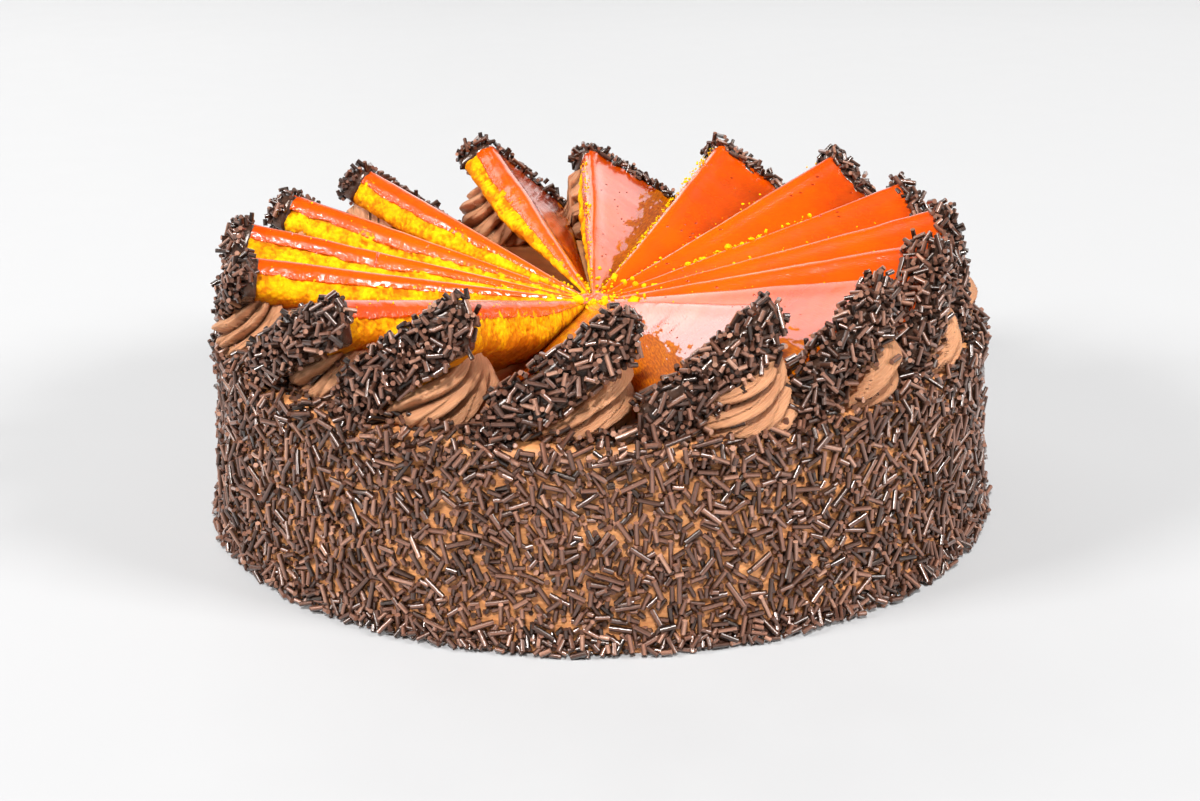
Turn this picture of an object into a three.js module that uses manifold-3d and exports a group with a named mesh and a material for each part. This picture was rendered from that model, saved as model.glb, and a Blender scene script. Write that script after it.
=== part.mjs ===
// A round layer torte, uncut: a cream-coated body whose wall is covered in chocolate sprinkles, a fan of
// sixteen caramel-glazed sponge slices leaning on piped cream rosettes, and nothing under it.
// Millimetres, +Z up. The origin is the middle of the underside, and -Y is the front.
import * as THREE from "three";
import { mergeVertices } from "three/addons/utils/BufferGeometryUtils.js";
import Module from "manifold-3d";

const wasm = await Module();
wasm.setup();

// Body: radii out to the sprinkles' outer envelope.
const FOOT_RADIUS = 132;
const FOOT_HEIGHT = 3;
const WALL_RADIUS = 129.4;
const RIM_RADIUS = 126.8;
const RIM_ROUNDING = 3.5;
const CREAM_TOP = 60;
const WALL_WAVE = 0.5; // how far the hand-spread wall strays from round
const BODY_SIDES = 72;

// Slices: flat sectors of one disc, all meeting at the fan's centre.
const SLICES = 16;
const SLICE_ANGLE = THREE.MathUtils.degToRad(21.8);
const SLICE_RADIUS = 118.5;
const FAN_SHIFT = -1.8; // the fan's centre sits this far along X from the body's axis
const FAN_CENTRE_HEIGHT = 64.5;
const TIP_RADIUS = 7; // the tips end here, a little short of the axis
const CARAMEL = 3;
const SPONGE = 9.4;
const TAPER = 0.16; // thickness over radius towards the tip, where the slices crowd together
const GAP = 0.3; // clearance between touching pieces
const RADIAL_STEPS = [0, 0.22, 0.42, 0.62, 0.82, 1];
const ACROSS_STEPS = [0, 0.33, 0.66, 0.92, 1];
const EDGE_ROUNDING = 0.45; // share of the caramel's thickness that rolls off at its raised edge

// How each slice sits, starting at the back and going anticlockwise from above.
const FIRST_SLICE = 90; // degrees, azimuth of the first slice's raised edge
const TURN_OFF = [1, -1.4, 2.7, 0.7, 2, 0.5, 5.8, 3.6, 4.2, 2.7, 2, -1.5, 0, -2.6, -6, -2.7];
const RAISED_HEIGHT = [91.7, 95.8, 92.7, 91.7, 93.7, 93.2, 92.3, 97.5, 96, 94.3, 94, 96.8, 95.3, 94.8, 98.2, 95.8];
const LOW_HEIGHT = [68, 65.8, 67, 68, 69, 69, 70, 71, 70, 70, 71.5, 68, 69, 67, 70, 71];
const CUT_LEAN = [0.2, -0.2, 0, 0, 0, 0, 0.1, 0.3, 0.45, 0.6, 0.5, 0.4, 0.3, 0.2, 0.2, 0.2]; // of its thickness

// Rosettes: one piped swirl under the raised half of every slice.
const ROSETTE_RADIUS = 15.8;
const ROSETTE_HEIGHT = 23;
const ROSETTE_RING = 108.2; // distance of a rosette's middle from the fan's centre
const ROSETTE_LAG = [3, 3, 3.5, 4.5, 5, 6, 8.6, 5.6, 6.7, 4.6, 4.7, 4.5, 4.5, 4.5, 3.5, 3.5]; // degrees
const ROSETTE_RIDGES = 6;
const ROSETTE_RIDGE_DEPTH = 0.17;
const ROSETTE_TWIST = 1.9;
const ROSETTE_LEAN = 5.5;
const ROSETTE_PROFILE = [
  [0, 0.9],
  [0.16, 1],
  [0.36, 0.9],
  [0.58, 0.66],
  [0.8, 0.36],
]; // height and radius of its rings, as shares of the whole

const finish = (color, roughness) =>
  new THREE.MeshStandardMaterial({ color, roughness, metalness: 0 });
const coat = finish("#4c342b", 0.55);
const sponge = finish("#f5b90c", 0.9);
const caramel = finish("#f25c05", 0.12);
const cream = finish("#a8745a", 0.6);

const degrees = THREE.MathUtils.degToRad;
const pad = (number) => String(number + 1).padStart(2, "0");

// A closed surface from two equal grids of points, the first on top, joined round their edges.
function slabGeometry(top, bottom) {
  const rows = top.length;
  const columns = top[0].length;
  const positions = [...top.flat(), ...bottom.flat()].flatMap((p) => p.toArray());
  const at = (layer, row, column) => (layer * rows + row) * columns + column;
  const index = [];
  const quad = (a, b, c, d) => index.push(a, b, c, a, c, d);
  for (let i = 0; i + 1 < rows; i++) {
    for (let j = 0; j + 1 < columns; j++) {
      quad(at(0, i, j), at(0, i + 1, j), at(0, i + 1, j + 1), at(0, i, j + 1));
      quad(at(1, i, j), at(1, i, j + 1), at(1, i + 1, j + 1), at(1, i + 1, j));
    }
    const last = columns - 1;
    quad(at(0, i, 0), at(1, i, 0), at(1, i + 1, 0), at(0, i + 1, 0));
    quad(at(0, i + 1, last), at(1, i + 1, last), at(1, i, last), at(0, i, last));
  }
  for (let j = 0; j + 1 < columns; j++) {
    const last = rows - 1;
    quad(at(0, 0, j + 1), at(1, 0, j + 1), at(1, 0, j), at(0, 0, j));
    quad(at(0, last, j), at(1, last, j), at(1, last, j + 1), at(0, last, j + 1));
  }
  return indexed(positions, index);
}

// A closed surface through rings of points from the bottom up, with a flat foot and a peak.
function ringsGeometry(rings, foot, peak) {
  const sides = rings[0].length;
  const positions = [...rings.flat(), foot, peak].flatMap((p) => p.toArray());
  const footIndex = rings.length * sides;
  const index = [];
  for (let j = 0; j < sides; j++) {
    const next = (j + 1) % sides;
    for (let i = 0; i + 1 < rings.length; i++) {
      const [a, b] = [i * sides + j, i * sides + next];
      index.push(a, b, b + sides, a, b + sides, a + sides);
    }
    const lastRing = (rings.length - 1) * sides;
    index.push(footIndex, next, j);
    index.push(footIndex + 1, lastRing + j, lastRing + next);
  }
  return indexed(positions, index);
}

function indexed(positions, index) {
  const geometry = new THREE.BufferGeometry();
  geometry.setAttribute("position", new THREE.Float32BufferAttribute(positions, 3));
  geometry.setIndex(index);
  geometry.computeVertexNormals();
  return geometry;
}

function toSolid(geometry) {
  const bare = geometry.clone();
  bare.deleteAttribute("normal");
  const merged = mergeVertices(bare);
  const vertProperties = merged.attributes.position.array;
  const triVerts = new Uint32Array(merged.index.array);
  return new wasm.Manifold(new wasm.Mesh({ numProp: 3, vertProperties, triVerts }));
}

function toGeometry(solid) {
  const { vertProperties, triVerts } = solid.getMesh();
  return indexed(Array.from(vertProperties), Array.from(triVerts));
}

// The largest of the bodies that a cut left.
function largest(solid) {
  return solid.decompose().reduce((a, b) => (b.volume() > a.volume() ? b : a));
}

// The body: a wall that leans in a little above a wider foot, with a soft rim and a flat top of cream.
function bodyGeometry() {
  const wave = (angle) =>
    WALL_WAVE * (Math.sin(3 * angle + 0.6) + 0.7 * Math.sin(5 * angle + 2.1) - 1.7);
  const ring = (radius, height, waving) =>
    Array.from({ length: BODY_SIDES }, (_, j) => {
      const angle = (2 * Math.PI * j) / BODY_SIDES;
      const reach = radius + waving * wave(angle);
      return new THREE.Vector3(reach * Math.cos(angle), reach * Math.sin(angle), height);
    });
  const shoulder = CREAM_TOP - RIM_ROUNDING;
  const rings = [
    ring(FOOT_RADIUS - 1, 0, 0),
    ring(FOOT_RADIUS, FOOT_HEIGHT / 2, 0),
    ring(FOOT_RADIUS - 1, FOOT_HEIGHT, 0.5),
    ring(WALL_RADIUS + 0.8, 3 * FOOT_HEIGHT, 1),
    ring(WALL_RADIUS, 0.5 * shoulder, 1),
    ring(RIM_RADIUS, shoulder, 1),
    ring(RIM_RADIUS - 0.3 * RIM_ROUNDING, CREAM_TOP - 0.3 * RIM_ROUNDING, 1),
    ring(RIM_RADIUS - RIM_ROUNDING, CREAM_TOP, 1),
  ];
  return ringsGeometry(rings, new THREE.Vector3(0, 0, 0), new THREE.Vector3(0, 0, CREAM_TOP));
}

// Where slice k lies: unit vectors from the fan's centre along its low and raised edges, and the way down
// through it, which its leaning cuts follow.
function placeOf(k) {
  const centre = new THREE.Vector3(FAN_SHIFT, 0, FAN_CENTRE_HEIGHT);
  const rise = (height) => Math.asin((height - FAN_CENTRE_HEIGHT) / SLICE_RADIUS);
  const [high, low] = [rise(RAISED_HEIGHT[k]), rise(LOW_HEIGHT[k])];
  const raisedTurn = degrees(FIRST_SLICE + (360 / SLICES) * k + TURN_OFF[k]);
  const cosine = Math.cos(SLICE_ANGLE) - Math.sin(high) * Math.sin(low);
  const lowTurn = raisedTurn - Math.acos(cosine / (Math.cos(high) * Math.cos(low)));
  const along = (turn, slope) =>
    new THREE.Vector3(
      Math.cos(turn) * Math.cos(slope),
      Math.sin(turn) * Math.cos(slope),
      Math.sin(slope),
    );
  const lowEdge = along(lowTurn, low);
  const raisedEdge = along(raisedTurn, high);
  const normal = new THREE.Vector3().crossVectors(lowEdge, raisedEdge).normalize();
  const middle = lowEdge.clone().add(raisedEdge).normalize();
  const across = new THREE.Vector3().crossVectors(normal, middle);
  const down = normal.clone().addScaledVector(across, CUT_LEAN[k]).negate();
  return { centre, lowEdge, raisedEdge, down, raisedTurn };
}

// A point of a slice: distance from the fan's centre, share of the way from the low to the raised edge,
// and depth under the top of its caramel.
function slicePoint(place, distance, share, depth) {
  const weight = (part) => Math.sin(part * SLICE_ANGLE) / Math.sin(SLICE_ANGLE);
  return place.centre
    .clone()
    .addScaledVector(place.lowEdge, distance * weight(1 - share))
    .addScaledVector(place.raisedEdge, distance * weight(share))
    .addScaledVector(place.down, depth);
}

const radiusAt = (step) => TIP_RADIUS + (SLICE_RADIUS - TIP_RADIUS) * step;
const fullDepth = (radius) => Math.min(CARAMEL + GAP + SPONGE, TAPER * radius);
const caramelDepth = (radius) => (CARAMEL * fullDepth(radius)) / (CARAMEL + GAP + SPONGE);

function grid(pointAt) {
  return RADIAL_STEPS.map((step) => ACROSS_STEPS.map((share) => pointAt(radiusAt(step), share)));
}

function caramelGeometry(place) {
  const rolled = (share) => (share === 1 ? EDGE_ROUNDING : 0);
  const top = grid((r, share) => slicePoint(place, r, share, rolled(share) * caramelDepth(r)));
  const bottom = grid((r, share) => slicePoint(place, r, share, caramelDepth(r)));
  return slabGeometry(top, bottom);
}

// The sponge under the caramel, its low edge pressed flat where it meets the cream.
function spongeGeometry(place) {
  const top = grid((r, share) => slicePoint(place, r, share, caramelDepth(r) + GAP));
  const bottom = grid((r, share) => {
    const point = slicePoint(place, r, share, fullDepth(r));
    point.z = Math.max(point.z, CREAM_TOP + GAP);
    return point;
  });
  return slabGeometry(top, bottom);
}

// The space a slice takes up with its clearance, where the rosettes are.
function sliceClearance(place) {
  const depth = CARAMEL + SPONGE + 2 * GAP;
  const near = ROSETTE_RING - 2 * ROSETTE_RADIUS;
  const far = SLICE_RADIUS + GAP;
  const margin = GAP / (near * SLICE_ANGLE);
  const widened = (share) => share + margin * (2 * share - 1);
  const layer = (down) =>
    [near, far].map((r) =>
      ACROSS_STEPS.map((share) => slicePoint(place, r, widened(share), down)),
    );
  return toSolid(slabGeometry(layer(-GAP), layer(depth)));
}

// A star-tipped swirl of cream: ridged rings that shrink, turn and lean towards the slice's raised edge.
function swirlSolid(turn) {
  const outward = new THREE.Vector3(Math.cos(turn), Math.sin(turn), 0);
  const sideways = new THREE.Vector3(-Math.sin(turn), Math.cos(turn), 0);
  const base = new THREE.Vector3(FAN_SHIFT, 0, CREAM_TOP + GAP);
  base.addScaledVector(outward, ROSETTE_RING);
  const leaned = (share) =>
    base
      .clone()
      .addScaledVector(sideways, ROSETTE_LEAN * share)
      .setZ(base.z + ROSETTE_HEIGHT * share);
  const sides = 2 * ROSETTE_RIDGES;
  const rings = ROSETTE_PROFILE.map(([height, radius]) =>
    Array.from({ length: sides }, (_, j) => {
      const ridge = 1 + (j % 2 ? -ROSETTE_RIDGE_DEPTH : ROSETTE_RIDGE_DEPTH);
      const angle = (2 * Math.PI * j) / sides + ROSETTE_TWIST * height;
      const reach = (ROSETTE_RADIUS * radius * ridge) / (1 + ROSETTE_RIDGE_DEPTH);
      return leaned(height)
        .addScaledVector(outward, reach * Math.cos(angle))
        .addScaledVector(sideways, reach * Math.sin(angle));
    }),
  );
  return toSolid(ringsGeometry(rings, base, leaned(1)));
}

// A rosette, pressed down by the slice that leans on it and clear of the next slice.
function rosetteGeometry(k, places) {
  const turn = places[k].raisedTurn - degrees(ROSETTE_LAG[k]);
  const above = sliceClearance(places[k]);
  const beside = sliceClearance(places[(k + 1) % SLICES]);
  return toGeometry(largest(swirlSolid(turn).subtract(above).subtract(beside)));
}

const torte = new THREE.Group();

function addPiece(name, geometry, material) {
  const mesh = new THREE.Mesh(geometry, material.clone());
  mesh.name = name;
  torte.add(mesh);
}

const places = Array.from({ length: SLICES }, (_, k) => placeOf(k));
addPiece("cake_body", bodyGeometry(), coat);
places.forEach((place, k) => {
  addPiece(`sponge_${pad(k)}`, spongeGeometry(place), sponge);
  addPiece(`caramel_${pad(k)}`, caramelGeometry(place), caramel);
  addPiece(`rosette_${pad(k)}`, rosetteGeometry(k, places), cream);
});

export default torte;
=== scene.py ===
"""The looks of a round layer torte: a body coated in cream and covered in chocolate sprinkles, and on top of
it a fan of sixteen caramel-glazed sponge slices, dipped in chocolate, that lean on piped cream rosettes.

Shapes are worked out in millimetres, in the model's own frame, and scaled to metres when a mesh is made."""

import math
from types import SimpleNamespace

import bpy
import numpy as np
from mathutils import Matrix, Vector


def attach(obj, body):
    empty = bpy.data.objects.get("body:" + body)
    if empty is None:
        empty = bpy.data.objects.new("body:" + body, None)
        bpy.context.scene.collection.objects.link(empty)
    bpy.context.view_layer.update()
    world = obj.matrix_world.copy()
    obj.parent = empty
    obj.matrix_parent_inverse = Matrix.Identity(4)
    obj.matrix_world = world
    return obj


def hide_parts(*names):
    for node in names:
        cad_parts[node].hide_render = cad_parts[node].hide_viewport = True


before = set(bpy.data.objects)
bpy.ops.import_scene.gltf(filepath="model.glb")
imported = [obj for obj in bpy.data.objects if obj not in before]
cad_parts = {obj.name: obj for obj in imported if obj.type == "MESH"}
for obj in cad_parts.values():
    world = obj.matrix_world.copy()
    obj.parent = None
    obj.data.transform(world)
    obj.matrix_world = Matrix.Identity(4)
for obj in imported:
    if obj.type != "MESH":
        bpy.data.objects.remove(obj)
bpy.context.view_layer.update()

MM = 0.001
TURN = 2 * math.pi
UP = np.array([0.0, 0.0, 1.0])

# The body of the cake, up to its cream, which lies inside the sprinkles' outer envelope.
CREAM_FOOT_RADIUS = 127.8
CREAM_WALL_RADIUS = 127.0
CREAM_RIM_RADIUS = 124.4
CREAM_TOP = 60.0
RIM_ROUNDING = 3.6
SHOULDER = CREAM_TOP - RIM_ROUNDING
WALL_WAVE = 0.5
CORE_SIDES = 640

# The fan of slices.
SLICES = 16
SLICE_ANGLE = math.radians(21.8)
SLICE_RADIUS = 118.5
FAN_CENTRE = np.array([-1.8, 0.0, 64.5])
TIP_RADIUS = 1.5
DIP_RADIUS = 116.6  # the glaze and the sponge end inside the chocolate here
SLICE_THICKNESS = 12.0
THICK_SLICES = {8: 13.0}  # this one was cut thicker
TAPER = 0.155  # thickness over radius towards the hub, where the slices are pressed into each other
DEEP_TAPERS = {7: 0.18, 8: 0.24}
LIP_ROLL = 3.2  # how far the caramel's raised edge rolls over, along the slice's top
LIP_DROP = 2.4  # and down
LIP_DEPTH = 5.0  # where its drips end
LIP_TUCK = 1.4  # how far its lowest row is drawn in
CARAMEL_UNDER = 1.9
SPONGE_TUCK = 2.6  # how far the cut side rounds off at its foot
BARE_EDGE = 0.06  # share of a slice, at the low edge, where the glaze is thin
BARE_EDGES = {1: 0.32, 10: 0.42, 11: 0.34}

TOP, CUT, UNDER, LOW = range(4)  # the sides of a slice's sponge

# Crumbs along the raised edge: how many, the biggest, and between which radii.
CRUMBY_EDGES = {1: (120, 0.65, 12, 112), 13: (16, 1.1, 30, 100), 14: (60, 1.5, 30, 84),
                15: (26, 0.9, 20, 110), 16: (230, 0.62, 14, 114)}
FEW_CRUMBS = (10, 0.5, 12, 112)
HUB_CRUMBS = 11  # on each slice

# The pool of caramel in the middle.
HUB_RADIUS = 8.5
HUB_TOP = 1.9
HUB_BASE = 2.5  # how deep it reaches

# The chocolate that each slice's outer end was dipped in.
DIP_MIDDLE = 117.3
DIP_REACH = 2.7  # half its width along the slice
DIP_CORNER = 2.3
DIP_OVER = 0.3  # its thickness over and under the slice
DIP_CAP = 2.1  # how far it wraps round the corners
DEEP_DIPS = {11: 2.5, 12: 6.0}  # these go further in over the caramel
DIP_BARE = 4.6  # how far round its cut, at the underside's end, no sprinkles lie

# Piped rosettes.
ROSETTE_RING = 107.8  # distance of a rosette's middle from the fan's centre
ROSETTE_RADIUS = 16.6
ROSETTE_HEIGHT = 24.0
ROSETTE_SET_BACK = {7: 5.0, 8: 3.0, 9: 5.0, 10: -1.5}  # these stand nearer to the middle, or further out
ROSETTE_SMALLER = {7: 0.92, 8: 0.90, 9: 0.92}
ROSETTE_RINGS = 52
ROSETTE_SIDES = 168
ROSETTE_RIDGES = 7
MORE_RIDGES = {11: 8, 12: 9, 13: 9}
ROSETTE_GROOVE = 0.36
ROSETTE_TWIST = 2.9
ROSETTE_LEAN = 7.0
ROSETTE_RAISE = 0.2  # its foot lies this far over the cream's top
ROSETTE_PROFILE = ([0, 0.05, 0.14, 0.36, 0.6, 0.82, 0.95, 1], [0.9, 0.97, 1, 0.93, 0.70, 0.40, 0.15, 0.02])

# Sprinkles.
SPRINKLE_RADIUS = 0.79
SPRINKLE_SIDES = 6
CELL = 0.3  # of the height maps that they are dropped on
THIN_COVER = 0.35  # where no more lies, a place counts as bare
BENT_SHARE = 0.12
STANDING_RISE = 1.0  # how high a standing one counts as lying, for the painted shade that darkens sprinkles lying low
ROSETTE_CLEAR = 12.5  # on the ledge none lie nearer than this to a rosette's middle
LOOSE_TRIES = 3  # on each rosette
FOOT_SLOPE = 6.5  # length of the heap at the foot, along its slope
FOOT_LEAN = math.radians(52)
FOOT_REACH = 3.4  # how far it reaches out from the cream

# The camera, fitted to the photograph.
CAMERA_PLACE = (-0.4, -576.7, 239.7)
CAMERA_AIM = (0.15, 0.0, 28.9)
CAMERA_ROLL = -0.66  # degrees
CAMERA_LENS = 54.0
CAMERA_SENSOR = 36

FLOOR_HALF = 3.4  # metres

ROOM_LEVELS = ((0.13, 0.48), (0.30, 0.24), (0.70, 0.05))  # height of the look upwards, brightness
ROOM_TINT = (1.0, 0.99, 0.975)


# ---------------------------------------------------------------- shapes

def lattice_noise(points, seed):
    """Smooth noise from -1 to 1 at points (n, 3), with a bump about every unit."""
    cell = np.floor(points).astype(np.int64)
    part = points - cell
    part = part * part * (3 - 2 * part)
    total = np.zeros(len(points))
    for corner in np.ndindex(2, 2, 2):
        offset = np.array(corner)
        weight = np.prod(np.where(offset, part, 1 - part), axis=1)
        key = (cell + offset) @ np.array([73856093, 19349663, 83492791]) + seed * 2654435
        key = (key ^ (key >> 13)) * 1274126177
        key = (key ^ (key >> 16)) & 0xFFFFFF
        total += weight * (key / 0x7FFFFF - 1)
    return total


def rough(points, size, seed, octaves=2):
    """Noise with bumps of about size millimetres and finer ones on them, roughly from -1 to 1."""
    total = np.zeros(len(points))
    for octave in range(octaves):
        total += lattice_noise(points * (2**octave / size), seed + octave) / 2**octave
    return total / (2 - 0.5 ** (octaves - 1))


def stacked(*parts):
    """Points or vectors from their x, y and z."""
    return np.stack(np.broadcast_arrays(*parts), axis=-1)


def unit(vectors):
    return vectors / np.linalg.norm(vectors, axis=-1, keepdims=True)


def round_frame(angle):
    """Unit vectors outwards and anticlockwise, at angles round the cake's axis."""
    cosine, sine = np.cos(angle), np.sin(angle)
    return stacked(cosine, sine, 0), stacked(-sine, cosine, 0)


def grid(rows, columns):
    """Each of the rows' values with each of the columns', row by row."""
    return [part.ravel() for part in np.meshgrid(rows, columns, indexing="ij")]


def ring_grid(shares, sides):
    """A grid of shares and of angles round a ring."""
    return grid(shares, np.arange(sides) * TURN / sides)


def grid_faces(rows, columns):
    """The quads of a grid of points stored row by row, with every row closed to a ring."""
    i, j = grid(np.arange(rows - 1), np.arange(columns))
    after = (j + 1) % columns
    below = (i + 1) * columns
    return np.stack((i * columns + j, i * columns + after, below + after, below + j), axis=1)


def capped_faces(rows, columns):
    """grid_faces, and triangles from the first ring and the last to two points stored after the grid."""
    count = rows * columns
    j = np.arange(columns)
    after = (j + 1) % columns
    last = count - columns
    first_cap = np.stack([after, j, np.full(columns, count)], axis=1)
    last_cap = np.stack([last + j, last + after, np.full(columns, count + 1)], axis=1)
    return [grid_faces(rows, columns), first_cap, last_cap]


def tube(rows, columns):
    """grid_faces, and a flat face on each end."""
    ring = np.arange(columns)
    return [grid_faces(rows, columns), np.stack([ring[::-1], (rows - 1) * columns + ring])]


def tube_faces(points, rows, columns):
    """tube, facing outwards whichever way round the rings run."""
    sides, ends = tube(rows, columns)
    volume = 0
    for corners in (sides[:, [0, 1, 2]], sides[:, [0, 2, 3]]):
        first, second, third = np.moveaxis(points[corners], 1, 0)
        volume += np.einsum("ij,ij->", first, np.cross(second, third))
    order = 1 if volume > 0 else -1
    return [sides[:, ::order], ends[:, ::order]]


def copied_faces(groups, number, size):
    """The faces of number copies of a shape that has size points."""
    start = np.arange(number)[:, None, None] * size
    return [(group + start).reshape(-1, group.shape[1]) for group in groups]


def joined(shapes):
    """The points and faces of several shapes as one."""
    points, faces, start = [], [], 0
    for own, groups in shapes:
        points.append(own)
        faces += [group + start for group in groups]
        start += len(own)
    return np.vstack(points), faces


def add_object(name, data):
    thing = bpy.data.objects.new(name, data)
    bpy.context.scene.collection.objects.link(thing)
    return thing


def make_mesh(name, points, faces, material, smooth_angle=None):
    """An object from points in millimetres and faces, smooth, or smooth only below an angle in degrees."""
    mesh = bpy.data.meshes.new(name)
    faces = [face for group in faces for face in group.tolist()]
    mesh.from_pydata((points * MM).tolist(), [], faces)
    mesh.validate()
    mesh.polygons.foreach_set("use_smooth", np.ones(len(mesh.polygons), bool))
    if smooth_angle:
        mesh.set_sharp_from_angle(angle=math.radians(smooth_angle))
    mesh.materials.append(material)
    piece = add_object(name, mesh)
    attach(piece, "root")
    return piece


def give_values(piece, domain="POINT", **fields):
    """Stores a number, or three, for each point or face of a piece, which its material reads."""
    for name, values in fields.items():
        kind, field = ("FLOAT", "value") if values.ndim == 1 else ("FLOAT_VECTOR", "vector")
        attribute = piece.data.attributes.new(name, kind, domain)
        attribute.data.foreach_set(field, values.astype(np.float32).ravel())


# ---------------------------------------------------------------- looks

class Look:
    """A material in the making, with short ways to add the nodes that the finishes here share."""

    def __init__(self, name, **sockets):
        self.material = bpy.data.materials.new(name)
        self.material.use_nodes = True
        self.tree = self.material.node_tree
        self.shader = self.tree.nodes["Principled BSDF"]
        self.finish(**sockets)

    def feed(self, socket, value):
        if isinstance(value, bpy.types.NodeSocket):
            self.tree.links.new(value, socket)
        else:
            socket.default_value = value

    def fill(self, node, sockets):
        for name, value in sockets.items():
            self.feed(node.inputs[name.replace("_", " ")], value)
        return node

    def finish(self, **sockets):
        self.fill(self.shader, sockets)
        return self.material

    def node(self, kind, settings=None, **sockets):
        node = self.tree.nodes.new("ShaderNode" + kind)
        for key, value in (settings or {}).items():
            setattr(node, key, value)
        return self.fill(node, sockets)

    def place(self):
        return self.node("TexCoord").outputs["Object"]

    def stored(self, name, output="Fac"):
        return self.node("Attribute", {"attribute_name": name}).outputs[output]

    def stretched(self, vector, scale):
        return self.node("Mapping", Vector=vector, Scale=scale).outputs["Vector"]

    def noise(self, vector, scale, detail=3.0, roughness=0.55):
        sockets = {"Scale": scale, "Detail": detail, "Roughness": roughness}
        return self.node("TexNoise", Vector=vector, **sockets).outputs["Fac"]

    def cells(self, vector, scale):
        return self.node("TexVoronoi", Vector=vector, Scale=scale).outputs["Distance"]

    def ramp(self, factor, *stops):
        node = self.node("ValToRGB", Fac=factor)
        elements = node.color_ramp.elements
        for _ in stops[2:]:
            elements.new(0.5)
        for element, (position, color) in zip(elements, stops):
            element.position = position
            element.color = (*color, 1)
        return node.outputs["Color"]

    def span(self, value, low, high, to_low=0.0, to_high=1.0):
        sockets = {"From Min": low, "From Max": high, "To Min": to_low, "To Max": to_high}
        return self.node("MapRange", Value=value, **sockets).outputs["Result"]

    def spread(self, noise, to_low, to_high):
        """Stretches the range where most of a noise lies."""
        return self.span(noise, 0.3, 0.7, to_low, to_high)

    def math(self, operation, first, second):
        node = self.node("Math", {"operation": operation})
        self.feed(node.inputs[0], first)
        self.feed(node.inputs[1], second)
        return node.outputs["Value"]

    def times(self, first, second):
        return self.math("MULTIPLY", first, second)

    def add(self, total, *others):
        for other in others:
            total = self.math("ADD", total, other)
        return total

    def mix(self, factor, first, second, blend="MIX"):
        node = self.node("Mix", {"data_type": "RGBA", "blend_type": blend})
        self.feed(node.inputs[0], factor)
        for socket, value in ((node.inputs[6], first), (node.inputs[7], second)):
            self.feed(socket, (*value, 1) if isinstance(value, tuple) else value)
        return node.outputs[2]

    def pits(self, distance, low, high, chance, limit):
        """0 in round pits and 1 between them, with pits only where chance is over limit."""
        here = self.math("GREATER_THAN", chance, limit)
        return self.math("MAXIMUM", self.span(distance, low, high), self.math("SUBTRACT", 1.0, here))

    def bump(self, height, distance, normal=None):
        """A bump that is distance millimetres high where height goes from 0 to 1."""
        node = self.node("Bump", Height=height, Distance=distance * MM, Strength=1.0)
        if normal is not None:
            self.feed(node.inputs["Normal"], normal)
        return node.outputs["Normal"]


def sprinkle_look():
    """Chocolate sprinkles: each its own brown, darker as painted shade where it lies low among the others,
    streaked along its length, with painted shade on the sides that face what it is stuck to, and duller on
    its broken ends."""
    look = Look("chocolate sprinkles", Specular_IOR_Level=0.5, Specular_Tint=(1.0, 0.82, 0.70, 1),
                Coat_Roughness=0.17)
    streaks = look.noise(look.stretched(look.stored("grain", "Vector"), (5, 5, 0.35)), 1.0, 2)
    specks = look.noise(look.place(), 1400, 2)
    cut = look.stored("cut")
    shade = look.add(
        look.stored("tint"), look.spread(streaks, -0.10, 0.10), look.spread(specks, -0.05, 0.05))
    color = look.ramp(
        shade, (0.0, (0.020, 0.009, 0.006)), (0.35, (0.108, 0.042, 0.026)),
        (0.7, (0.290, 0.128, 0.081)), (1.0, (0.600, 0.320, 0.215)))
    # Painted shade: the sides of a sprinkle that face what it lies on are darkened; its ends are left almost
    # unshaded.
    facing = look.math("MAXIMUM", look.stored("facing"), look.times(cut, 0.9))
    painted_shade = look.ramp(facing, (0.1, (0.09, 0.07, 0.06)), (0.65, (0.42, 0.38, 0.36)), (1.0, (1, 1, 1)))
    return look.finish(
        Base_Color=look.mix(1.0, color, painted_shade, "MULTIPLY"),
        Coat_Weight=look.span(cut, 0, 1, 1.0, 0.04),
        Roughness=look.add(look.spread(streaks, 0.26, 0.42), look.times(cut, 0.3)),
        Normal=look.bump(streaks, 0.06))


def darker(color, share):
    return tuple(share * part for part in color)


def cream_look(name, pale, deep, flow=None):
    """Chocolate buttercream: satin, streaked by knife or nozzle, with the pinholes of whipped air, which get
    painted shade, and on piped cream painted shade in its grooves.
    """
    look = Look(name, Specular_IOR_Level=0.4, Subsurface_Weight=0.10, Subsurface_Scale=1.2 * MM,
                Subsurface_Radius=(1.0, 0.45, 0.25))
    place = look.place()
    cloud = look.noise(place, 60, 4)
    fine = look.noise(place, 700, 3)
    if flow:
        lines = look.noise(look.stretched(look.stored(flow, "Vector"), (1, 1, 0.07)), 1.0, 4, 0.65)
    else:
        lines = look.noise(look.stretched(place, (1, 1, 5)), 160, 3, 0.6)
    holes = look.pits(look.cells(place, 420), 0.05, 0.16, look.noise(place, 230, 1), 0.62)
    color = look.mix(look.add(look.spread(cloud, 0, 0.5), look.spread(lines, 0, 0.5)), deep, pale)
    # Painted shade in the pinholes.
    color = look.mix(holes, darker(deep, 0.55), color)
    if flow:
        # Painted shade in the rosettes' grooves.
        color = look.mix(look.times(look.stored("fold"), 0.8), color, darker(deep, 0.3))
    relief = look.add(look.times(lines, 0.8), look.times(fine, 0.2))
    normal = look.bump(holes, 0.18, look.bump(relief, 0.8 if flow else 0.5))
    return look.finish(Base_Color=color, Roughness=look.spread(lines, 0.42, 0.58), Normal=normal)


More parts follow.
